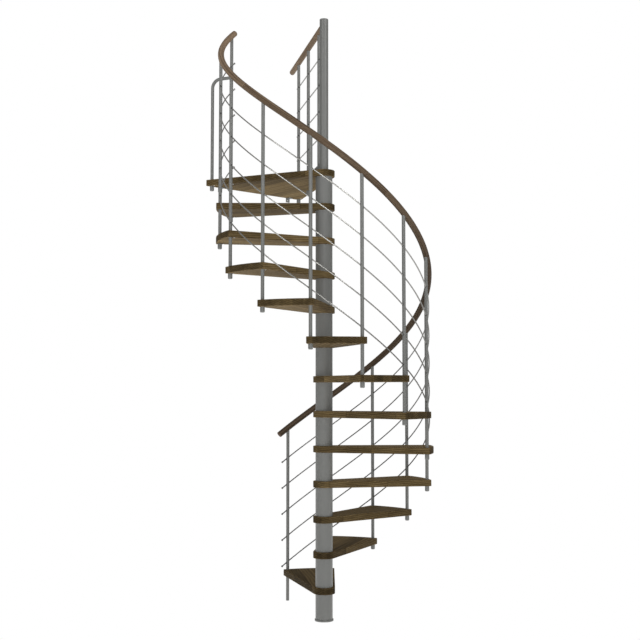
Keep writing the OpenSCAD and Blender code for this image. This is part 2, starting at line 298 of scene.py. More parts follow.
def sweptBars(name, paths, radius, sides, finish, slot, nodes, grainOffset=(0, 0, 0), girths=None):
    points, edges, scale = [], [], []
    for index, path in enumerate(paths):
        first = len(points)
        points += [tuple(p) for p in path]
        edges += [(first + i, first + i + 1) for i in range(len(path) - 1)]
        scale += girths[index] if girths else [1.0] * len(path)
    mesh = bpy.data.meshes.new(name + "Line")
    mesh.from_pydata(points, edges, [])
    pointValues(mesh, "girth", scale)
    result = throughTree(name, mesh, sweepTree, {
        "Radius": radius, "Sides": sides, "Grain Offset": grainOffset, "Finish": finish})
    result.set_sharp_from_angle(angle=math.radians(sharpAngle["bars"]))
    return place(name, result, slot, *nodes)


def repeatedParts(name, template, spots, finish, slot, nodes=()):
    # spots are (point, aim) pairs
    mesh = bpy.data.meshes.new(name + "Points")
    mesh.from_pydata([tuple(point) for point, _ in spots], [], [])
    pointValues(mesh, "aim", [c for _, aim in spots for c in aim], "FLOAT_VECTOR")
    part = newObject(name + "Part", template)
    result = throughTree(name, mesh, scatterTree, {"Part": part, "Finish": finish})
    bpy.data.objects.remove(part)
    return place(name, result, slot, *nodes)


def shadeMesh(mesh, kind, finish):
    mesh.shade_smooth()
    mesh.set_sharp_from_angle(angle=math.radians(sharpAngle[kind]))
    mesh.materials.clear()
    mesh.materials.append(finish)


def softProfile(corners, steps=4, halo=2.0, closed=False):
    # corners are (across, height, rounding); returns (across, height, edge) with edge 1 on a rounding
    profile = []
    count = len(corners)
    for i, (x, y, rounding) in enumerate(corners):
        here = Vector((x, y))
        if rounding <= 0 or (not closed and i in (0, count - 1)):
            profile.append((x, y, 0.0))
            continue
        before = Vector(corners[i - 1][:2]) - here
        after = Vector(corners[(i + 1) % count][:2]) - here
        u, v = before.normalized(), after.normalized()
        half = u.angle(v) / 2
        reach = rounding / math.tan(half)
        centre = here + (u + v).normalized() * (rounding / math.sin(half))
        begin, finish = here + u * reach, here + v * reach
        apart = halo * rounding
        roomy = reach + 1.6 * apart    # a straight needs this length to take the extra point
        if before.length > roomy:
            p = here + u * (reach + apart)
            profile.append((p.x, p.y, 0.0))
        spokeA, spokeB = begin - centre, finish - centre
        whole = spokeA.angle(spokeB)
        for s in range(steps + 1):
            part = s / steps * whole
            spoke = (spokeA * math.sin(whole - part) + spokeB * math.sin(part)) / math.sin(whole)
            p = centre + spoke
            profile.append((p.x, p.y, 1.0))
        if after.length > roomy:
            p = here + v * (reach + apart)
            profile.append((p.x, p.y, 0.0))
    return profile


def bandFaces(rings):
    return [(a[k], a[(k + 1) % len(a)], b[(k + 1) % len(a)], b[k])
            for a, b in zip(rings, rings[1:]) for k in range(len(a))]


def upright(profile, closed=False, centre=(0, 0, 0)):
    return [(profile, centre, (0, 0, 1), closed)]


def turnedMesh(name, turnings, sides, finish):
    # turnings are (profile, centre point, axis direction, closed) with profile (radius, height, edge)
    points, faces, edgeValues = [], [], []
    for profile, centre, axis, closed in turnings:
        up = Vector(axis).normalized()
        side = up.orthogonal().normalized()
        other = up.cross(side)
        rings = []
        for radius, height, edge in profile:
            middle = Vector(centre) + up * height
            if radius < closeness["pole"]:
                rings.append([len(points)])
                points.append(middle)
                edgeValues.append(edge)
                continue
            ring = []
            for k in range(sides):
                a = 2 * math.pi * k / sides
                ring.append(len(points))
                points.append(middle + (side * math.cos(a) + other * math.sin(a)) * radius)
                edgeValues.append(edge)
            rings.append(ring)
        pairs = list(zip(rings, rings[1:])) + ([(rings[-1], rings[0])] if closed else [])
        for low, high in pairs:
            for k in range(sides):
                n = (k + 1) % sides
                if len(low) == 1 and len(high) > 1:
                    faces.append((low[0], high[n], high[k]))
                elif len(high) == 1 and len(low) > 1:
                    faces.append((low[k], low[n], high[0]))
                elif len(low) > 1:
                    faces.append((low[k], low[n], high[n], high[k]))
    mesh = bpy.data.meshes.new(name)
    mesh.from_pydata([tuple(p) for p in points], [], faces)
    bm = bmesh.new()
    bm.from_mesh(mesh)
    bmesh.ops.recalc_face_normals(bm, faces=bm.faces)
    bm.to_mesh(mesh)
    bm.free()
    pointValues(mesh, "edge", edgeValues)
    shadeMesh(mesh, "turned", finish)
    return mesh


def softenedCopy(name, node, width, segments, finish):
    # the part's own shape with its hard corners eased
    bm = mergedMesh(node)
    bmesh.ops.dissolve_limit(bm, angle_limit=math.radians(0.5), verts=bm.verts, edges=bm.edges)
    mesh = bpy.data.meshes.new(name + "Hard")
    bm.to_mesh(mesh)
    bm.free()
    source = newObject(name + "Source", mesh)
    bevel = source.modifiers.new("ease", "BEVEL")
    bevel.width = width
    bevel.segments = segments
    bevel.limit_method = "ANGLE"
    bevel.angle_limit = math.radians(40)
    bevel.harden_normals = False
    result = finishedMesh(source, name)
    shadeMesh(result, "eased", finish)
    return result


def newShadeGroup(name, inputs, outputs):
    tree = bpy.data.node_groups.new(name, "ShaderNodeTree")
    for label, (kind, value) in inputs.items():
        socket = tree.interface.new_socket(label, in_out="INPUT", socket_type="NodeSocket" + kind)
        if value is not None:
            socket.default_value = value
    for label, kind in outputs.items():
        tree.interface.new_socket(label, in_out="OUTPUT", socket_type="NodeSocket" + kind)
    return tree, tree.nodes.new("NodeGroupInput").outputs, tree.nodes.new("NodeGroupOutput").inputs


def math2(tree, operation, a, b=0.0, c=0.0, clamp=False):
    node = addNode(tree, "ShaderNodeMath", {0: a, 1: b, 2: c}, operation=operation)
    node.use_clamp = clamp
    return node.outputs[0]


def scaled(tree, vector, scale):
    return addNode(tree, "ShaderNodeVectorMath", {0: vector, 1: scale}, operation="MULTIPLY").outputs[0]


def noiseAt(tree, vector, scale, detail=3.0, roughness=0.55):
    return addNode(tree, "ShaderNodeTexNoise", {
        "Vector": vector, "Scale": scale, "Detail": detail, "Roughness": roughness}).outputs["Fac"]


def ranged(tree, value, low, high, toLow=0.0, toHigh=1.0):
    return addNode(tree, "ShaderNodeMapRange", {
        "Value": value, "From Min": low, "From Max": high, "To Min": toLow, "To Max": toHigh},
        interpolation_type="SMOOTHSTEP").outputs["Result"]


figureShape = {
    "jump": (5.0, 0.13, 0.11),    # how far a stave's figure lies from its neighbour's
    "ringStretch": (0.09, 1.0, 1.0), "ringFactor": 0.3142, "wobble": 9.0, "wobbleScale": 0.35,
    "streakStretch": (1.6, 34.0, 34.0), "fibreStretch": (14.0, 620.0, 620.0),
    "poreStretch": (55.0, 1300.0, 1300.0),
    "rings": 0.30, "streaks": 0.75, "fibres": 0.28, "offset": -0.16,    # shares of the figure
    "poreRange": (0.60, 0.72), "jointRange": (0.490, 0.5),
}


def makeWoodFigure():
    # X of the grain vector runs along the fibres
    shape = figureShape
    tree, given, out = newShadeGroup("woodFigure", {
        "Grain": ("Vector", None), "Stave Width": ("Float", 0.06), "Ring Spacing": ("Float", 0.006)},
        {"Figure": "Float", "Pores": "Float", "Stave": "Float", "Joint": "Float"})
    parts = addNode(tree, "ShaderNodeSeparateXYZ", {"Vector": given["Grain"]}).outputs
    across = math2(tree, "DIVIDE", parts["Y"], given["Stave Width"])
    index = math2(tree, "FLOOR", across)
    random = addNode(tree, "ShaderNodeTexWhiteNoise", {"W": index}, noise_dimensions="1D")
    jump = scaled(tree, random.outputs["Color"], shape["jump"])
    moved = addNode(tree, "ShaderNodeVectorMath", {0: given["Grain"], 1: jump}, operation="ADD").outputs[0]
    rings = addNode(tree, "ShaderNodeTexWave", {
        "Vector": scaled(tree, moved, shape["ringStretch"]),
        "Scale": math2(tree, "DIVIDE", shape["ringFactor"], given["Ring Spacing"]),
        "Distortion": shape["wobble"], "Detail": 3.0, "Detail Scale": shape["wobbleScale"],
        "Detail Roughness": 0.55}, wave_type="RINGS", rings_direction="X").outputs["Fac"]
    streaks = noiseAt(tree, scaled(tree, moved, shape["streakStretch"]), 1.0, 4.0, 0.6)
    fibres = noiseAt(tree, scaled(tree, moved, shape["fibreStretch"]), 1.0, 2.0, 0.5)
    figure = math2(tree, "MULTIPLY_ADD", rings, shape["rings"],
                   math2(tree, "MULTIPLY_ADD", streaks, shape["streaks"],
                         math2(tree, "MULTIPLY_ADD", fibres, shape["fibres"], shape["offset"])))
    pores = noiseAt(tree, scaled(tree, moved, shape["poreStretch"]), 1.0, 1.0)
    fromMiddle = math2(tree, "SUBTRACT", math2(tree, "FRACT", across), 0.5)
    joint = ranged(tree, math2(tree, "ABSOLUTE", fromMiddle), *shape["jointRange"])
    pored = ranged(tree, pores, *shape["poreRange"])
    for label, value in zip(("Figure", "Pores", "Stave", "Joint"),
                            (figure, pored, random.outputs["Value"], joint)):
        tree.links.new(value, out[label])
    return tree


wearShape = {"detail": 5.0, "roughness": 0.7, "patchRange": (0.42, 0.66), "edgeRange": (0.25, 0.95)}


def makeEdgeWear():
    # a ragged mask along rounded edges
    shape = wearShape
    tree, given, out = newShadeGroup("edgeWear", {
        "Place": ("Vector", None), "Edge": ("Float", 0.0), "Patch Size": ("Float", 30.0)},
        {"Mask": "Float"})
    patch = noiseAt(tree, given["Place"], given["Patch Size"], shape["detail"], shape["roughness"])
    mask = math2(tree, "MULTIPLY", ranged(tree, patch, *shape["patchRange"]),
                 ranged(tree, given["Edge"], *shape["edgeRange"]))
    tree.links.new(mask, out["Mask"])
    return tree


def makeFineSpeckle():
    # a soft pebbled skin and slow cloudy change over the surface
    tree, given, out = newShadeGroup("fineSpeckle", {
        "Place": ("Vector", None), "Grain Scale": ("Float", 900.0), "Cloud Scale": ("Float", 5.0)},
        {"Skin": "Float", "Cloud": "Float"})
    tree.links.new(noiseAt(tree, given["Place"], given["Grain Scale"], 2.0, 0.5), out["Skin"])
    tree.links.new(noiseAt(tree, given["Place"], given["Cloud Scale"], 4.0, 0.6), out["Cloud"])
    return tree


woodFigure = makeWoodFigure()
edgeWear = makeEdgeWear()
fineSpeckle = makeFineSpeckle()


def useGroup(tree, group, feeds):
    return addNode(tree, "ShaderNodeGroup", feeds, node_tree=group).outputs


def blendColours(tree, share, a, b):
    a, b = (c if isinstance(c, bpy.types.NodeSocket) else (*c, 1.0) for c in (a, b))
    return addNode(tree, "ShaderNodeMix", {0: share, 6: a, 7: b}, data_type="RGBA").outputs[2]


def meshValue(tree, name, output="Fac"):
    return addNode(tree, "ShaderNodeAttribute", attribute_name=name).outputs[output]


def newMaterial(name, constants):
    material = bpy.data.materials.new(name)
    material.use_nodes = True
    tree = material.node_tree
    shader = tree.nodes["Principled BSDF"]
    for key, value in constants.items():
        shader.inputs[key].default_value = value
    return material, tree, shader


def bumpInto(tree, shader, height, strength, distance):
    bump = addNode(tree, "ShaderNodeBump", {
        "Height": height, "Strength": strength, "Distance": distance})
    tree.links.new(bump.outputs["Normal"], shader.inputs["Normal"])


woodSurface = {
    "patchSize": 24.0, "skinScale": 260.0, "cloudScale": 3.5, "cloudShare": 0.30,
    "darkAt": 0.22, "lightAt": 0.78, "poreShare": 0.55, "figureRough": 0.12, "poreRough": 0.18,
    "poreDepth": 0.8, "jointDepth": 0.6, "bump": 0.28, "bumpDistance": 0.0006,
    "coat": 0.0, "coatRoughness": 0.28,
}


def makeWood(name, look):
    look = {**woodSurface, **look}
    material, tree, shader = newMaterial(name, {
        "Specular IOR Level": look["gloss"], "Coat Weight": look["coat"],
        "Coat Roughness": look["coatRoughness"]})
    spot = addNode(tree, "ShaderNodeTexCoord").outputs["Object"]
    figure = useGroup(tree, woodFigure, {
        "Grain": meshValue(tree, "grain", "Vector"), "Stave Width": look["staveWidth"],
        "Ring Spacing": look["ringSpacing"]})
    wear = useGroup(tree, edgeWear, {
        "Place": spot, "Edge": meshValue(tree, "edge"), "Patch Size": look["patchSize"]})["Mask"]
    skin = useGroup(tree, fineSpeckle, {
        "Place": spot, "Grain Scale": look["skinScale"], "Cloud Scale": look["cloudScale"]})
    ramp = addNode(tree, "ShaderNodeValToRGB", {"Fac": figure["Figure"]})
    stops = ramp.color_ramp.elements
    stops[0].position, stops[0].color = look["darkAt"], (*look["dark"], 1)
    stops[1].position, stops[1].color = look["lightAt"], (*look["light"], 1)
    stops.new(0.5).color = (*look["middle"], 1)
    staveShade = math2(tree, "MULTIPLY_ADD", figure["Stave"], look["staveTone"], 1 - look["staveTone"] / 2)
    cloud = math2(tree, "MULTIPLY_ADD", skin["Cloud"], look["cloudShare"], 1 - look["cloudShare"] / 2)
    # painted light and shade: the piece's painted light level scales the stave and cloud variation
    shade = math2(tree, "MULTIPLY", math2(tree, "MULTIPLY", staveShade, cloud), meshValue(tree, "paintedLight"))
    # painted shade on the boards' side faces; the extra darkening at the end grain is the wood's own
    sideShadeAndEndGrain = math2(tree, "MULTIPLY_ADD", meshValue(tree, "endGrainAndSideShadeMask"), -look["endGrainAndSideShadeDepth"], 1.0)
    colour = scaled(tree, ramp.outputs["Color"], math2(tree, "MULTIPLY", shade, sideShadeAndEndGrain))
    for mask, share, tint in ((figure["Pores"], look["poreShare"], look["pore"]),
                              (figure["Joint"], look["joint"], look["pore"]),
                              (wear, look["wear"], look["worn"])):
        colour = blendColours(tree, math2(tree, "MULTIPLY", mask, share), colour, tint)
    tree.links.new(colour, shader.inputs["Base Color"])
    rough = math2(tree, "MULTIPLY_ADD", figure["Figure"], look["figureRough"], look["roughness"])
    rough = math2(tree, "MULTIPLY_ADD", figure["Pores"], look["poreRough"], rough, clamp=True)
    tree.links.new(rough, shader.inputs["Roughness"])
    height = math2(tree, "MULTIPLY_ADD", figure["Joint"], -look["jointDepth"], figure["Figure"])
    height = math2(tree, "MULTIPLY_ADD", figure["Pores"], -look["poreDepth"], height)
    bumpInto(tree, shader, height, look["bump"], look["bumpDistance"])
    return material


coatingSurface = {
    "metallic": 0.0, "gloss": 0.5, "takesPaintedLight": False, "patchSize": 60.0, "speckRange": (0.35, 0.7),
    "skinRough": 0.14, "cloudRough": 0.10, "bumpDistance": 0.0004,
}


def makeCoating(name, look):
    look = {**coatingSurface, **look}
    material, tree, shader = newMaterial(name, {
        "Metallic": look["metallic"], "Specular IOR Level": look["gloss"]})
    spot = addNode(tree, "ShaderNodeTexCoord").outputs["Object"]
    wear = useGroup(tree, edgeWear, {
        "Place": spot, "Edge": meshValue(tree, "edge"), "Patch Size": look["patchSize"]})["Mask"]
    skin = useGroup(tree, fineSpeckle, {
        "Place": spot, "Grain Scale": look["grainScale"], "Cloud Scale": look["cloudScale"]})
    colour = blendColours(tree, skin["Cloud"], look["dark"], look["light"])
    # a toned coating is scaled by the piece's painted light level: painted light and shade
    if look["takesPaintedLight"]:
        colour = scaled(tree, colour, meshValue(tree, "paintedLight"))
    speck = ranged(tree, skin["Skin"], *look["speckRange"], 1 - look["speckle"], 1 + look["speckle"])
    worn = blendColours(tree, math2(tree, "MULTIPLY", wear, look["wear"]),
                        scaled(tree, colour, speck), look["worn"])
    tree.links.new(worn, shader.inputs["Base Color"])
    rough = math2(tree, "MULTIPLY_ADD", skin["Skin"], look["skinRough"],
                  look["roughness"] - (look["skinRough"] + look["cloudRough"]) / 2)
    rough = math2(tree, "MULTIPLY_ADD", skin["Cloud"], look["cloudRough"], rough, clamp=True)
    tree.links.new(rough, shader.inputs["Roughness"])
    bumpInto(tree, shader, skin["Skin"], look["bump"], look["bumpDistance"])
    return material


treadWoodLook = {
    "dark": (0.058, 0.039, 0.017), "middle": (0.128, 0.088, 0.038), "light": (0.212, 0.153, 0.073),
    "pore": (0.018, 0.012, 0.006), "worn": (0.21, 0.15, 0.085), "wear": 0.35,
    # the side depth darkens the side faces: painted shade, deeper at the end grain, which is darker of its
    # own
    "staveWidth": 0.062, "staveTone": 0.55, "ringSpacing": 0.011, "joint": 0.55, "endGrainAndSideShadeDepth": 0.62,
    "roughness": 0.60, "gloss": 0.035,
}
railWoodLook = {
    "dark": (0.056, 0.036, 0.022), "middle": (0.118, 0.081, 0.051), "light": (0.198, 0.142, 0.093),
    "pore": (0.030, 0.019, 0.012), "worn": (0.20, 0.14, 0.09), "wear": 0.3,
    "staveWidth": 0.4, "staveTone": 0.15, "ringSpacing": 0.007, "joint": 0.0, "endGrainAndSideShadeDepth": 0.3,
    "roughness": 0.48, "gloss": 0.10,
}
paintLook = {
    "dark": (0.124, 0.126, 0.120), "light": (0.150, 0.152, 0.144), "worn": (0.27, 0.27, 0.26),
    "wear": 0.45, "gloss": 0.46, "roughness": 0.40, "grainScale": 950.0,
    "cloudScale": 3.0, "speckle": 0.05, "bump": 0.16,
}
steelLook = {
    "dark": (0.38, 0.375, 0.355), "light": (0.48, 0.475, 0.45), "worn": (0.6, 0.6, 0.58),
    "wear": 0.4, "metallic": 1.0, "roughness": 0.22, "grainScale": 1400.0,
    # the rods take a painted light level: painted shade low down
    "cloudScale": 9.0, "speckle": 0.06, "bump": 0.10, "takesPaintedLight": True,
}
screwLook = {
    "dark": (0.60, 0.59, 0.56), "light": (0.76, 0.75, 0.72), "worn": (0.85, 0.84, 0.82),
    "wear": 0.5, "metallic": 1.0, "roughness": 0.28, "grainScale": 1800.0,
    "cloudScale": 40.0, "speckle": 0.08, "bump": 0.12,
}
grommetLook = {
    "dark": (0.020, 0.020, 0.020), "light": (0.034, 0.033, 0.032), "worn": (0.06, 0.06, 0.06),
    "wear": 0.3, "gloss": 0.3, "roughness": 0.62, "grainScale": 1500.0,
    "cloudScale": 30.0, "speckle": 0.10, "bump": 0.20,
}
capWoodLook = {
    **railWoodLook,
    "dark": (0.050, 0.029, 0.017), "middle": (0.088, 0.053, 0.033), "light": (0.145, 0.092, 0.060),
}
treadWood = makeWood("treadWood", treadWoodLook)
railWood = makeWood("railWood", railWoodLook)
capWood = makeWood("capWood", capWoodLook)
paint = makeCoating("greyPaint", paintLook)
rodSteel = makeCoating("rodSteel", steelLook)
screwSteel = makeCoating("screwSteel", screwLook)
grommetRubber = makeCoating("grommetRubber", grommetLook)
print("materials made")


boardShape = {
    "edgeRounding": 0.003,    # along the top and bottom arrises
    "holeRounding": 0.0010,
    "band": 0.0065,           # width of the flat band inside the rounding
    "holeSides": 40,
    "cornerReach": 0.008,     # from a straight's end to its extra point
    # painted shade on the side faces along the grain; the end grain, darker of its own, gets the deeper share
    "sideShadeAndEndGrain": (0.38, 1.0),    # how dark a side is along the grain, and at the end grain
    "grainShift": (3.7, 0.173, 0.41),    # from one board's figure to the next one's, in metres
    # painted light and shade: how light each board is painted, the lowest first, the low boards mostly darker
    # and the high ones lighter as light falls on the stair
    "paintedLightLevels": (0.55, 0.68, 0.70, 0.95, 1.02, 0.88, 1.04, 0.98, 1.24, 1.18, 1.24, 0.86, 1.10),
}


def finerLoop(loop):
    # extra points close to the ends of long straights, so that rounded corners shade cleanly
    finer, reach = [], boardShape["cornerReach"]
    for i, here in enumerate(loop):
        ahead = loop[(i + 1) % len(loop)]
        finer.append(here)
        span = ahead - here
        if span.length > 5 * reach:
            finer.append(here + span.normalized() * reach)
            finer.append(ahead - span.normalized() * reach)
    return finer


def loopNormals(loop):
    normals = []
    for i, here in enumerate(loop):
        a = (here - loop[i - 1]).normalized()
        b = (loop[(i + 1) % len(loop)] - here).normalized()
        na, nb = Vector((a.y, -a.x)), Vector((b.y, -b.x))
        mid = (na + nb).normalized()
        normals.append(mid / max(mid.dot(na), 0.5))
    return normals


def givePaintedLight(mesh, paintedLight):
    # painted light and shade: how light this piece is painted, one level, or (heights, levels) for a slow
    # change up the stair
    heights = [v.co.z for v in mesh.vertices]
    paintedLightLevels = np.interp(heights, *paintedLight) if isinstance(paintedLight, tuple) else np.full(len(heights), paintedLight)
    pointValues(mesh, "paintedLight", paintedLightLevels)


def boardMesh(name, node, grainShift, finish):
    outer, holes, low, high = topLoops(node)
    outer = finerLoop(outer)
    far = [hole[0] for hole in holes[-2:]]
    along = (far[0].normalized() + far[1].normalized()).normalized()
    aside = Vector((-along.y, along.x))
    shape = boardShape
    alongGrainSideShade, endGrainSideShade = shape["sideShadeAndEndGrain"]
    walls = [(outer, loopNormals(outer), shape["edgeRounding"], shape["band"])]
    for centre, radius in holes:
        ring = [centre + Vector((math.cos(a), -math.sin(a))) * radius
                for a in np.linspace(0, 2 * math.pi, shape["holeSides"], endpoint=False)]
        inward = [(centre - p).normalized() for p in ring]
        walls.append((ring, inward, shape["holeRounding"], 2.5 * shape["holeRounding"]))
    points, faces, edgeValues, sideShadeAndEndGrainValues = [], [], [], []
    tops, bottoms = [], []
    for loop, normals, rounding, band in walls:
        profile = softProfile([(band, low, 0), (0, low, rounding),
                               (0, high, rounding), (band, high, 0)], steps=4, halo=1.0)
        rings = []
        for inset, z, edge in profile:
            ring = []
            for p, n in zip(loop, normals):
                q = p - n * inset
                ring.append(len(points))
                points.append((q.x, q.y, z))
                edgeValues.append(edge)
                # painted shade on the side faces, deeper where the end grain shows, which is also darker of
                # its own
                dark = alongGrainSideShade + (endGrainSideShade - alongGrainSideShade) * abs(n.normalized().dot(along))
                sideShadeAndEndGrainValues.append(dark if inset < rounding / 2 else 0.0)
            rings.append(ring)
        faces += bandFaces(rings)
        bottoms.append(rings[0])
        tops.append(rings[-1])
    for loops, upward in ((bottoms, False), (tops, True)):
        flatOrder = [i for loop in loops for i in loop]
        polygons = [[Vector(points[i]) for i in loop] for loop in loops]
        for tri in tessellate_polygon(polygons):
            a, b, c = (flatOrder[i] for i in tri)
            pa, pb, pc = (Vector(points[i]) for i in (a, b, c))
            facing = (pb - pa).cross(pc - pa).z > 0
            faces.append((a, b, c) if facing == upward else (a, c, b))
    mesh = bpy.data.meshes.new(name)
    mesh.from_pydata(points, [], faces)
    grain = []
    for x, y, z in points:
        p = Vector((x, y))
        grain += [p.dot(along) + grainShift[0], p.dot(aside) + grainShift[1], z - low + grainShift[2]]
    pointValues(mesh, "grain", grain, "FLOAT_VECTOR")
    pointValues(mesh, "edge", edgeValues)
    pointValues(mesh, "endGrainAndSideShadeMask", sideShadeAndEndGrainValues)
    shadeMesh(mesh, "boards", finish)
    return mesh, holes, along, low


treadNames = sorted(n for n in cadNodes if n.startswith("tread_"))
boards = {}
for number, node in enumerate(treadNames + ["landing"], start=1):
    name = "landingBoard" if node == "landing" else f"tread{number:02d}"
    shift = [step * number for step in boardShape["grainShift"]]
    mesh, holes, along, low = boardMesh(name, node, shift, treadWood)
    # painted light and shade: each board is painted to its own brightness
    givePaintedLight(mesh, boardShape["paintedLightLevels"][number - 1])
    place(name, mesh, "tread_wood", node)
    boards[node] = {"holes": holes, "along": along, "low": low}
print("boards made:", len(boards))


columnShape = {
    "spacerEase": 0.0012, "postEase": 0.0008, "sides": 72,
    "plugGap": 0.0005, "plugRounding": 0.001,    # the cap's plug in the post
    "rimGap": 0.0006, "rimInset": 0.0002, "rimHeight": 0.0022, "rimWall": 0.0020, "rimRounding": 0.0005,
    "domeSteps": 8, "capSides": 64, "footEase": 0.0018, "footSteps": 3,
}

spacerTurnings = []
for points in solidsOf("column_spacers"):
    low, high = points[:, 2].min(), points[:, 2].max()
    radii = np.hypot(points[:, 0], points[:, 1])
    outerR, innerR = radii.max(), radii.min()
    ease = columnShape["spacerEase"]
    profile = softProfile([(innerR, low, 0), (outerR, low, ease),
                           (outerR, high, ease), (innerR, high, 0)], steps=3)
    spacerTurnings += upright(profile, closed=True)
spacers = turnedMesh("columnSpacers", spacerTurnings, columnShape["sides"], paint)
place("columnSpacers", spacers, "paint", "column_spacers")

postPoints = np.concatenate(solidsOf("centre_post"))
postRadii = np.hypot(postPoints[:, 0], postPoints[:, 1])
postRadius, postInner = postRadii.max(), postRadii.min()
postLow, postHigh = postPoints[:, 2].min(), postPoints[:, 2].max()
ease = columnShape["postEase"]
postProfile = softProfile([(postInner, postLow, 0), (postRadius, postLow, ease),
                           (postRadius, postHigh, ease), (postInner, postHigh, 0)], steps=3)
post = turnedMesh("centrePost", upright(postProfile, closed=True), columnShape["sides"], paint)
place("centrePost", post, "paint", "centre_post")

# a plug in the post, a rim on its end and a low dome
shape = columnShape
capLow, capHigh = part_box("post_cap")
capDome = capHigh.z - postHigh
plugRadius, rimRadius = postInner - shape["plugGap"], postRadius - shape["rimInset"]
rimLow = postHigh + shape["rimGap"]
domeRadius = (postRadius ** 2 + capDome ** 2) / (2 * capDome)
domeReach = math.asin((postRadius - shape["rimGap"]) / domeRadius)
capProfile = [(0, capLow.z, 0)] + softProfile([
    (0, capLow.z, 0), (plugRadius, capLow.z, shape["plugRounding"]), (plugRadius, rimLow, 0),
    (rimRadius, rimLow, shape["rimRounding"]), (rimRadius, postHigh + shape["rimWall"], 0)], steps=2)[1:]
for step in range(shape["domeSteps"] + 1):
    spread = domeReach * (1 - step / shape["domeSteps"])
    rise = max(domeRadius * math.cos(spread) - (domeRadius - capDome), shape["rimHeight"])
    capProfile.append((domeRadius * math.sin(spread), postHigh + rise, 0.0 if step else 0.3))
cap = turnedMesh("postCap", upright(capProfile), shape["capSides"], paint)
place("postCap", cap, "paint", "post_cap")

foot = softenedCopy("footPlate", "foot_plate", shape["footEase"], shape["footSteps"], paint)
place("footPlate", foot, "paint", "foot_plate")
print("column made")


# the balusters' tops go into the rail, and the hoop's end into the last baluster
barShape = {"sides": 32, "topBuried": 0.008, "hoopBend": 0.060, "bendSteps": 16, "hoopReach": 0.8}

landingBalusterSolids = solidsOf("landing_balusters")
landingAxes = sorted((middleOf(s)[:2] for s in landingBalusterSolids), key=lambda p: -np.hypot(*p))
landingBottom = min(s[:, 2].min() for s in landingBalusterSolids)
railLow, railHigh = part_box("landing_rail")
landingRailHeight = (railLow.z + railHigh.z) / 2
railRadius = (railHigh.z - railLow.z) / 2
railStart = float(np.mean([helixOf(f"handrail_{s}")[0] for s in (1, 2, 3, 4)]))
barRadius = stair["balusterRadius"]


def paintedBars(name, paths, node):
    sweptBars(name, paths, barRadius, barShape["sides"], paint, "paint", [node])


paths = []
for k, points in enumerate(balusterSolids):
    x, y = balusterAxes[k]
    top = helixPoint(railStart, balusterAngles[k]).z - barShape["topBuried"]
    paths.append([(x, y, points[:, 2].min()), (x, y, top)])
paintedBars("stairBalusters", paths, "stair_balusters")

landingBarTop = landingRailHeight - barShape["topBuried"]
paths = [[(x, y, landingBottom), (x, y, landingBarTop)] for x, y in landingAxes]
paintedBars("landingBalusters", paths, "landing_balusters")

hoopPoints = np.concatenate(solidsOf("landing_hoop"))
hoopLevel = hoopPoints[:, 2].max() - barRadius
lastAim = Vector((*balusterAxes[-1], 0)).normalized()
hoopReach = max(np.hypot(hoopPoints[:, 0], hoopPoints[:, 1])) - barRadius
bend = barShape["hoopBend"]
hoopPath = [lastAim * hoopReach + Vector((0, 0, hoopPoints[:, 2].min()))]
for step in range(barShape["bendSteps"] + 1):
    turn = math.pi / 2 * step / barShape["bendSteps"]
    hoopPath.append(lastAim * (hoopReach - bend + bend * math.cos(turn))
                    + Vector((0, 0, hoopLevel - bend + bend * math.sin(turn))))
hoopPath.append(lastAim * (stair["circle"] + barRadius * barShape["hoopReach"]) + Vector((0, 0, hoopLevel)))
paintedBars("landingHoop", [hoopPath], "landing_hoop")

endCapShape = {
    "bottomRounding": 0.006, "topRounding": 0.0010, "grooveDepth": 0.0007, "grooveHeight": 0.004,
    "seat": 0.003, "seatGap": 0.0003, "sides": 36,
}
endCapSolids = solidsOf("baluster_end_caps")
capHeight = float(np.ptp(endCapSolids[0][:, 2]))
capRadius = float(np.ptp(endCapSolids[0][:, 0]) / 2)
shape = endCapShape
groove, notch = shape["grooveHeight"], shape["grooveDepth"]
seat, seatRadius = -shape["seat"], barRadius + shape["seatGap"]
capProfile = softProfile([
    (0, -capHeight, 0), (capRadius, -capHeight, shape["bottomRounding"]),
    (capRadius, -groove - 2 * notch, 0), (capRadius - notch, -groove - notch, 0), (capRadius, -groove, 0),
    (capRadius, 0, shape["topRounding"]), (seatRadius, 0, 0), (seatRadius, seat, 0), (0, seat, 0)],
    steps=6, halo=1.0)
endCap = turnedMesh("endCap", upright(capProfile), shape["sides"], paint)
spots = [((*middleOf(s)[:2], s[:, 2].max()), (0, 0, 1)) for s in endCapSolids]
repeatedParts("balusterEndCaps", endCap, spots, paint, "paint", ["baluster_end_caps"])

# a thin disc under the first baluster, with a plug that goes up into the tube
footShape = {"rounding": 0.0012, "seamRounding": 0.0003, "wall": 0.0023, "plugRounding": 0.001, "sides": 36}
shape = footShape
footLow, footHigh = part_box("first_baluster_foot")
barBottom, plugRadius = balusterSolids[0][:, 2].min(), barRadius - shape["wall"]
footProfile = softProfile([
    (0, footLow.z, 0), (barRadius, footLow.z, shape["rounding"]),
    (barRadius, barBottom, shape["seamRounding"]), (plugRadius, barBottom + 0.0001, 0),
    (plugRadius, footHigh.z, shape["plugRounding"]), (0, footHigh.z, 0)], steps=4)
footTurning = upright(footProfile, centre=(*balusterAxes[0], 0))
foot = turnedMesh("firstBalusterFoot", footTurning, shape["sides"], paint)
place("firstBalusterFoot", foot, "paint", "first_baluster_foot")
print("balusters made:", len(balusterSolids) + len(landingAxes))


railShape = {
    "sides": 40, "step": 1.0, "jointEase": 0.0012, "jointDepth": 0.03, "postBite": 0.004,
    # painted light and shade: the rail is painted darker at its foot and lighter up the stair and on the
    # landing
    "paintedLightShares": (0.0, 0.4, 0.63, 0.8, 1.0), "paintedLightLevels": (0.46, 0.58, 0.84, 1.18, 1.85),
    "landingPaintedLight": 1.55,
}

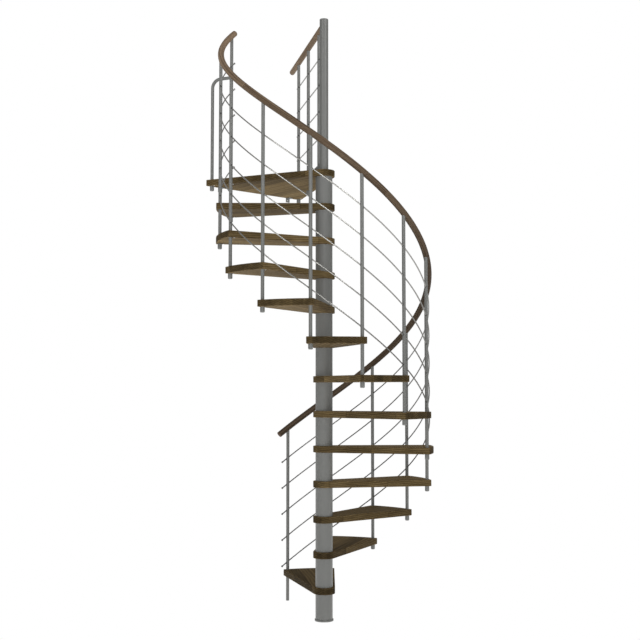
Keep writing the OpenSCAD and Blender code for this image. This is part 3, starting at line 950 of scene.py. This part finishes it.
railFoot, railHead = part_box("handrail_1")[0].z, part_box("handrail_4")[1].z
railClimb = railFoot + (railHead - railFoot) * np.array(railShape["paintedLightShares"])
jointGirth = 1 - railShape["jointDepth"]    # the ends are eased a little at each joint
for s in (1, 2, 3, 4):
    node = f"handrail_{s}"
    _, lowEnd, highEnd = axisEnds(node, railRadius)
    tip = math.degrees(railShape["jointEase"] / stair["circle"])
    count = max(2, round((lowEnd - highEnd) / railShape["step"]))
    angles = [lowEnd, lowEnd - tip, *np.linspace(lowEnd, highEnd, count + 1)[1:-1], highEnd + tip, highEnd]
    path = [helixPoint(railStart, a) for a in angles]
    girth = [jointGirth] + [1.0] * (len(path) - 2) + [jointGirth]
    grain = (2.3 * s, 0.21 * s + 0.1, 0.13 * s)    # its own part of the figure
    rail = sweptBars(f"handrail{s}", [path], railRadius, railShape["sides"], railWood, "rail_wood",
                     [node], grainOffset=grain, girths=[girth])
    # painted light and shade: darker low on the rail, lighter high up
    givePaintedLight(rail.data, (railClimb, railShape["paintedLightLevels"]))

landingDirection = Vector((*landingAxes[0], 0)).normalized()
railFar = max(Vector(p).dot(landingDirection) for p in np.concatenate(solidsOf("landing_rail")))
railNear = postRadius - railShape["postBite"]
path = [landingDirection * d + Vector((0, 0, landingRailHeight))
        for d in (railNear, railNear + 0.3, railNear + 0.6, railFar - railShape["jointEase"], railFar)]
rail = sweptBars("landingRail", [path], railRadius, railShape["sides"], railWood, "rail_wood",
                 ["landing_rail"], grainOffset=(13.0, 0.77, 0.4),
                 girths=[[1.0] * 4 + [jointGirth]])
# painted light: the landing rail is painted lighter
givePaintedLight(rail.data, railShape["landingPaintedLight"])

# a turned button closes each free end of the rail: a groove, a rounded rim and a low dome
railCapShape = {
    "groove": 0.0006, "seam": 0.0002, "lip": 0.0009, "lipRounding": 0.0003, "rimRounding": 0.0016,
    "step": (0.80, 0.0009, 0.0006), "gutter": (0.76, 0.0002, 0.0004),    # radius share, height, rounding
    "dome": 0.74, "domeGap": 0.0004, "domeBase": 0.0003, "domeSteps": 6, "sides": 40,
}
shape = railCapShape
firstEnd, lastEnd = axisEnds("handrail_1", railRadius)[1], axisEnds("handrail_4", railRadius)[2]
capSpots = [
    (helixPoint(railStart, firstEnd), -helixRun(firstEnd)),
    (helixPoint(railStart, lastEnd), helixRun(lastEnd)),
    (landingDirection * railFar + Vector((0, 0, landingRailHeight)), landingDirection),
]
capPoints = np.concatenate(solidsOf("rail_end_caps"))
capDepth = max(Vector(p).dot(landingDirection) for p in capPoints) - railFar
rimDepth = capDepth / 2
profile = softProfile(
    [(0, shape["seam"], 0), (railRadius - shape["groove"], shape["seam"], 0),
     (railRadius, shape["lip"], shape["lipRounding"]), (railRadius, rimDepth, shape["rimRounding"])]
    + [(railRadius * share, rimDepth + height, rounding)
       for share, height, rounding in (shape["step"], shape["gutter"])], steps=4, halo=0.6)
inner = railRadius * shape["dome"]
domeRise = capDepth - rimDepth - shape["domeGap"]
domeR = (inner ** 2 + domeRise ** 2) / (2 * domeRise)
domeBase = rimDepth + shape["domeBase"] - (domeR - domeRise)
for step in range(shape["domeSteps"] + 1):
    spread = math.asin(inner / domeR) * (1 - step / shape["domeSteps"])
    profile.append((domeR * math.sin(spread), domeBase + domeR * math.cos(spread), 0.0))
turnings = [(profile, spot, aim, False) for spot, aim in capSpots]
railCaps = turnedMesh("railEndCaps", turnings, shape["sides"], capWood)
givePaintedLight(railCaps, 1.0)
place("railEndCaps", railCaps, "rail_wood", "rail_end_caps")
print("handrail made")


rodShape = {
    # painted shade: the rods and their balls are painted darker low down, reaching their full colour at 2.6 m
    "sides": 14, "step": 2.0, "paintedLightHeights": (0.2, 1.6, 2.6), "paintedLightLevels": (0.30, 0.42, 1.0),
    "grommetFlange": 0.0020, "grommetGap": 0.0004, "grommetProud": 0.0009, "grommetSunk": 0.0022,
    "outerRounding": 0.0006, "innerRounding": 0.0004, "grommetSides": 16,
    "ballNeck": 0.80, "ballNeckGap": 0.0003, "ballFrom": -53, "ballSteps": 10, "ballSides": 24,
}
rodNodes = sorted(n for n in cadNodes if n.startswith("stair_rod_"))
ballSolids = solidsOf("rod_end_caps")
ballRadius = float(np.ptp(ballSolids[0][:, 2]) / 2)
landingRodSolids = solidsOf("landing_rods")
rodRadius = float(np.ptp(landingRodSolids[0][:, 2]) / 2)

ballSpots, grommetSpots = [], []
# painted shade on the rods and balls, darker low on the stair
rodPaintedLight = (rodShape["paintedLightHeights"], rodShape["paintedLightLevels"])
halfAngle = math.degrees(math.asin(barRadius / stair["circle"]))
for r, node in enumerate(rodNodes, start=1):
    start, lowEnd, highEnd = axisEnds(node, rodRadius)
    count = max(2, round((lowEnd - highEnd) / rodShape["step"]))
    path = [helixPoint(start, a) for a in np.linspace(lowEnd, highEnd, count + 1)]
    rod = sweptBars(f"stairRod{r}", [path], rodRadius, rodShape["sides"], rodSteel, "steel", [node])
    givePaintedLight(rod.data, rodPaintedLight)
    ballSpots.append((helixPoint(start, lowEnd), -helixRun(lowEnd)))
    ballSpots.append((helixPoint(start, highEnd), helixRun(highEnd)))
    for angle in balusterAngles:
        a = math.radians(angle)
        for way in (-1, 1):
            level = Vector((-math.sin(a), math.cos(a), 0)) * way
            spot = helixPoint(start, angle) + level * barRadius
            spot.z = helixPoint(start, angle + way * halfAngle).z
            grommetSpots.append((spot, level))

rodPaths = []
for points in landingRodSolids:
    reach = [Vector(p).dot(landingDirection) for p in points]
    level = float(middleOf(points)[2])
    rodPaths.append([landingDirection * d + Vector((0, 0, level)) for d in (min(reach), max(reach))])
    ballSpots.append((landingDirection * max(reach) + Vector((0, 0, level)), landingDirection))
    for axis in landingAxes:
        for way in (-1, 1):
            spot = landingDirection * (np.hypot(*axis) + way * barRadius) + Vector((0, 0, level))
            grommetSpots.append((spot, landingDirection * way))
    grommetSpots.append((landingDirection * postRadius + Vector((0, 0, level)), landingDirection))
rods = sweptBars("landingRods", rodPaths, rodRadius, rodShape["sides"], rodSteel, "steel", ["landing_rods"])
givePaintedLight(rods.data, rodPaintedLight)

shape = rodShape
ballProfile = [(0, -ballRadius * 0.5, 0.0),
               (rodRadius + shape["ballNeckGap"], -ballRadius * shape["ballNeck"], 0.0)]
for step in range(shape["ballSteps"]):
    lift = math.radians(shape["ballFrom"] + (90 - shape["ballFrom"]) * step / shape["ballSteps"])
    ballProfile.append((ballRadius * math.cos(lift), ballRadius * math.sin(lift), 0.0))
ballProfile.append((0.0, ballRadius, 0.0))
ballPart = turnedMesh("rodBall", upright(ballProfile), shape["ballSides"], rodSteel)
balls = repeatedParts("rodBalls", ballPart, ballSpots, rodSteel, "steel", ["rod_end_caps"])
givePaintedLight(balls.data, rodPaintedLight)

bore = rodRadius + shape["grommetGap"]
rim, proud, sunk = bore + shape["grommetFlange"], shape["grommetProud"], -shape["grommetSunk"]
grommetProfile = softProfile([
    (bore, sunk, 0), (rim, sunk, 0), (rim, proud, shape["outerRounding"]),
    (bore, proud, shape["innerRounding"])], steps=2, halo=0.5, closed=True)
grommetTurning = upright(grommetProfile, closed=True)
grommetPart = turnedMesh("grommet", grommetTurning, shape["grommetSides"], grommetRubber)
repeatedParts("rodGrommets", grommetPart, grommetSpots, grommetRubber, None)
print("rods made:", len(rodNodes) + len(landingRodSolids))


screwShape = {
    "headRadius": 0.0042, "headHeight": 0.0026, "sunk": 0.0003, "sides": 24, "inset": 0.025,
    # shares of the radius and the height, and the wear
    "head": ((1.0, 0.35, 0.3), (0.93, 0.68, 1), (0.74, 0.92, 0.6), (0.50, 1.0, 0)),
    "socket": 0.0013, "socketMouth": 1.12, "socketEase": 0.0002, "socketDepth": 0.0014,
}


def screwMesh(name, shape, finish):
    # a pan head with a six-sided socket, its flat face on the origin and its crown along +Z
    sides = shape["sides"]
    points, edgeValues = [], []

    def ring(radius, height, hexagon, edge):
        found = []
        for k in range(sides):
            a = 2 * math.pi * k / sides
            reach = radius / math.cos((a + math.pi / 6) % (math.pi / 3) - math.pi / 6) if hexagon else radius
            found.append(len(points))
            points.append((reach * math.cos(a), reach * math.sin(a), height))
            edgeValues.append(edge)
        return found

    head, tall, socket = shape["headRadius"], shape["headHeight"], shape["socket"]
    rings = [ring(head, -shape["sunk"], False, 0)]
    rings += [ring(head * across, tall * up, False, edge) for across, up, edge in shape["head"]]
    rings += [ring(socket * shape["socketMouth"], tall, True, 0.6),
              ring(socket, tall - shape["socketEase"], True, 0.6),
              ring(socket, tall - shape["socketDepth"], True, 0)]
    faces = bandFaces(rings) + [tuple(rings[-1]), tuple(reversed(rings[0]))]
    mesh = bpy.data.meshes.new(name)
    mesh.from_pydata(points, [], faces)
    pointValues(mesh, "edge", edgeValues)
    shadeMesh(mesh, "screws", finish)
    return mesh


plateShape = {"easeSteps": 2, "eases": {"landing_gusset": 0.0012, "landing_brackets": 0.0010}}
for node, ease in plateShape["eases"].items():
    name = "landing" + node.split("_")[1].title()
    place(name, softenedCopy(name, node, ease, plateShape["easeSteps"], paint), "paint", node)

# a screw beside each baluster hole, in the underside
screwSpots = []
for board in boards.values():
    for centre, radius in board["holes"][1:]:
        spot = centre - board["along"] * screwShape["inset"]
        screwSpots.append(((spot.x, spot.y, board["low"]), (0, 0, -1)))
repeatedParts("treadScrews", screwMesh("treadScrew", screwShape, screwSteel), screwSpots, screwSteel, "steel")
print("fixings made:", len(screwSpots))


studio = {
    "floor": (0.88, 0.88, 0.88), "floorSize": 30.0, "floorGlow": 0.66, "floorSquares": 8,
    "floorDrop": 0.0005, "cloudShade": 0.97, "cloudScale": 1.2,
    "backdrop": 1.0, "surround": 0.36, "target": (0, 0, 1.9),
    "left": (125.0, (-4.6, -5.6, 5.6), 3.2), "right": (160.0, (4.6, -5.0, 6.2), 2.4),
    "front": (110.0, (0.2, -8.0, 4.4), 2.4), "rear": (150.0, (-2.5, 7.0, 5.0), 3.0),
    "overhead": (0.10, (0.35, -0.5, 2.6), 110.0),
    "lens": 58.61, "cameraPlace": (0.0, -6.7433, 1.475), "cameraTilt": 3.744, "cameraTurn": 0.222,
}

floorMesh = bpy.data.meshes.new("floor")
squares = studio["floorSquares"]
bm = bmesh.new()
bmesh.ops.create_grid(bm, x_segments=squares, y_segments=squares, size=studio["floorSize"] / 2)
bm.to_mesh(floorMesh)
bm.free()
floorMaterial, tree, shader = newMaterial("paleFloor", {
    "Specular IOR Level": 0.0, "Emission Color": (1, 1, 1, 1)})
spot = addNode(tree, "ShaderNodeTexCoord").outputs["Object"]
cloud = noiseAt(tree, spot, studio["cloudScale"])
darker = [studio["cloudShade"] * c for c in studio["floor"]]
floorColour = blendColours(tree, cloud, darker, studio["floor"])
# seen directly it is an even white sweep; it also throws soft light up at the treads
seen = addNode(tree, "ShaderNodeLightPath").outputs["Is Camera Ray"]
tree.links.new(blendColours(tree, seen, floorColour, (0, 0, 0)), shader.inputs["Base Color"])
glow = math2(tree, "MULTIPLY_ADD", seen, studio["backdrop"] - studio["floorGlow"], studio["floorGlow"])
tree.links.new(glow, shader.inputs["Emission Strength"])
tree.links.new(math2(tree, "MULTIPLY_ADD", cloud, 0.1, 0.8), shader.inputs["Roughness"])
floorMesh.materials.append(floorMaterial)
floor = newObject("floor", floorMesh)
floor.location = (0, 0, -studio["floorDrop"])

world = bpy.data.worlds.new("studio")
world.use_nodes = True
scene.world = world
tree = world.node_tree
background = tree.nodes["Background"]
background.inputs["Color"].default_value = (1, 1, 1, 1)
seen = addNode(tree, "ShaderNodeLightPath").outputs["Is Camera Ray"]
strength = math2(tree, "MULTIPLY_ADD", seen, studio["backdrop"] - studio["surround"], studio["surround"])
tree.links.new(strength, background.inputs["Strength"])


def softLight(name, power, where, size):
    data = bpy.data.lights.new(name, "AREA")
    data.shape = "DISK"
    data.energy = power
    data.size = size
    data.use_shadow = False    # fill light, so the treads don't shade the column
    light = newObject(name, data)
    light.location = where
    aim = Vector(studio["target"]) - Vector(where)
    light.rotation_euler = aim.to_track_quat("-Z", "Y").to_euler()
    light.visible_camera = False
    light.visible_glossy = where[1] < 0    # the light from behind gives no streaks on the front


for side in ("left", "right", "front", "rear"):
    softLight(side + "Light", *studio[side])
sunPower, sunFrom, sunSpread = studio["overhead"]
sunData = bpy.data.lights.new("overheadLight", "SUN")
sunData.energy = sunPower
sunData.angle = math.radians(sunSpread)
sun = newObject("overheadLight", sunData)
sun.rotation_euler = Vector(sunFrom).to_track_quat("Z", "Y").to_euler()

camera = newObject("camera", bpy.data.cameras.new("camera"))
camera.data.lens = studio["lens"]
camera.data.sensor_width = 36
camera.data.clip_end = 200
camera.location = studio["cameraPlace"]
camera.rotation_euler = (math.radians(90 + studio["cameraTilt"]), 0, math.radians(studio["cameraTurn"]))
scene.camera = camera
scene.view_settings.view_transform = "Standard"
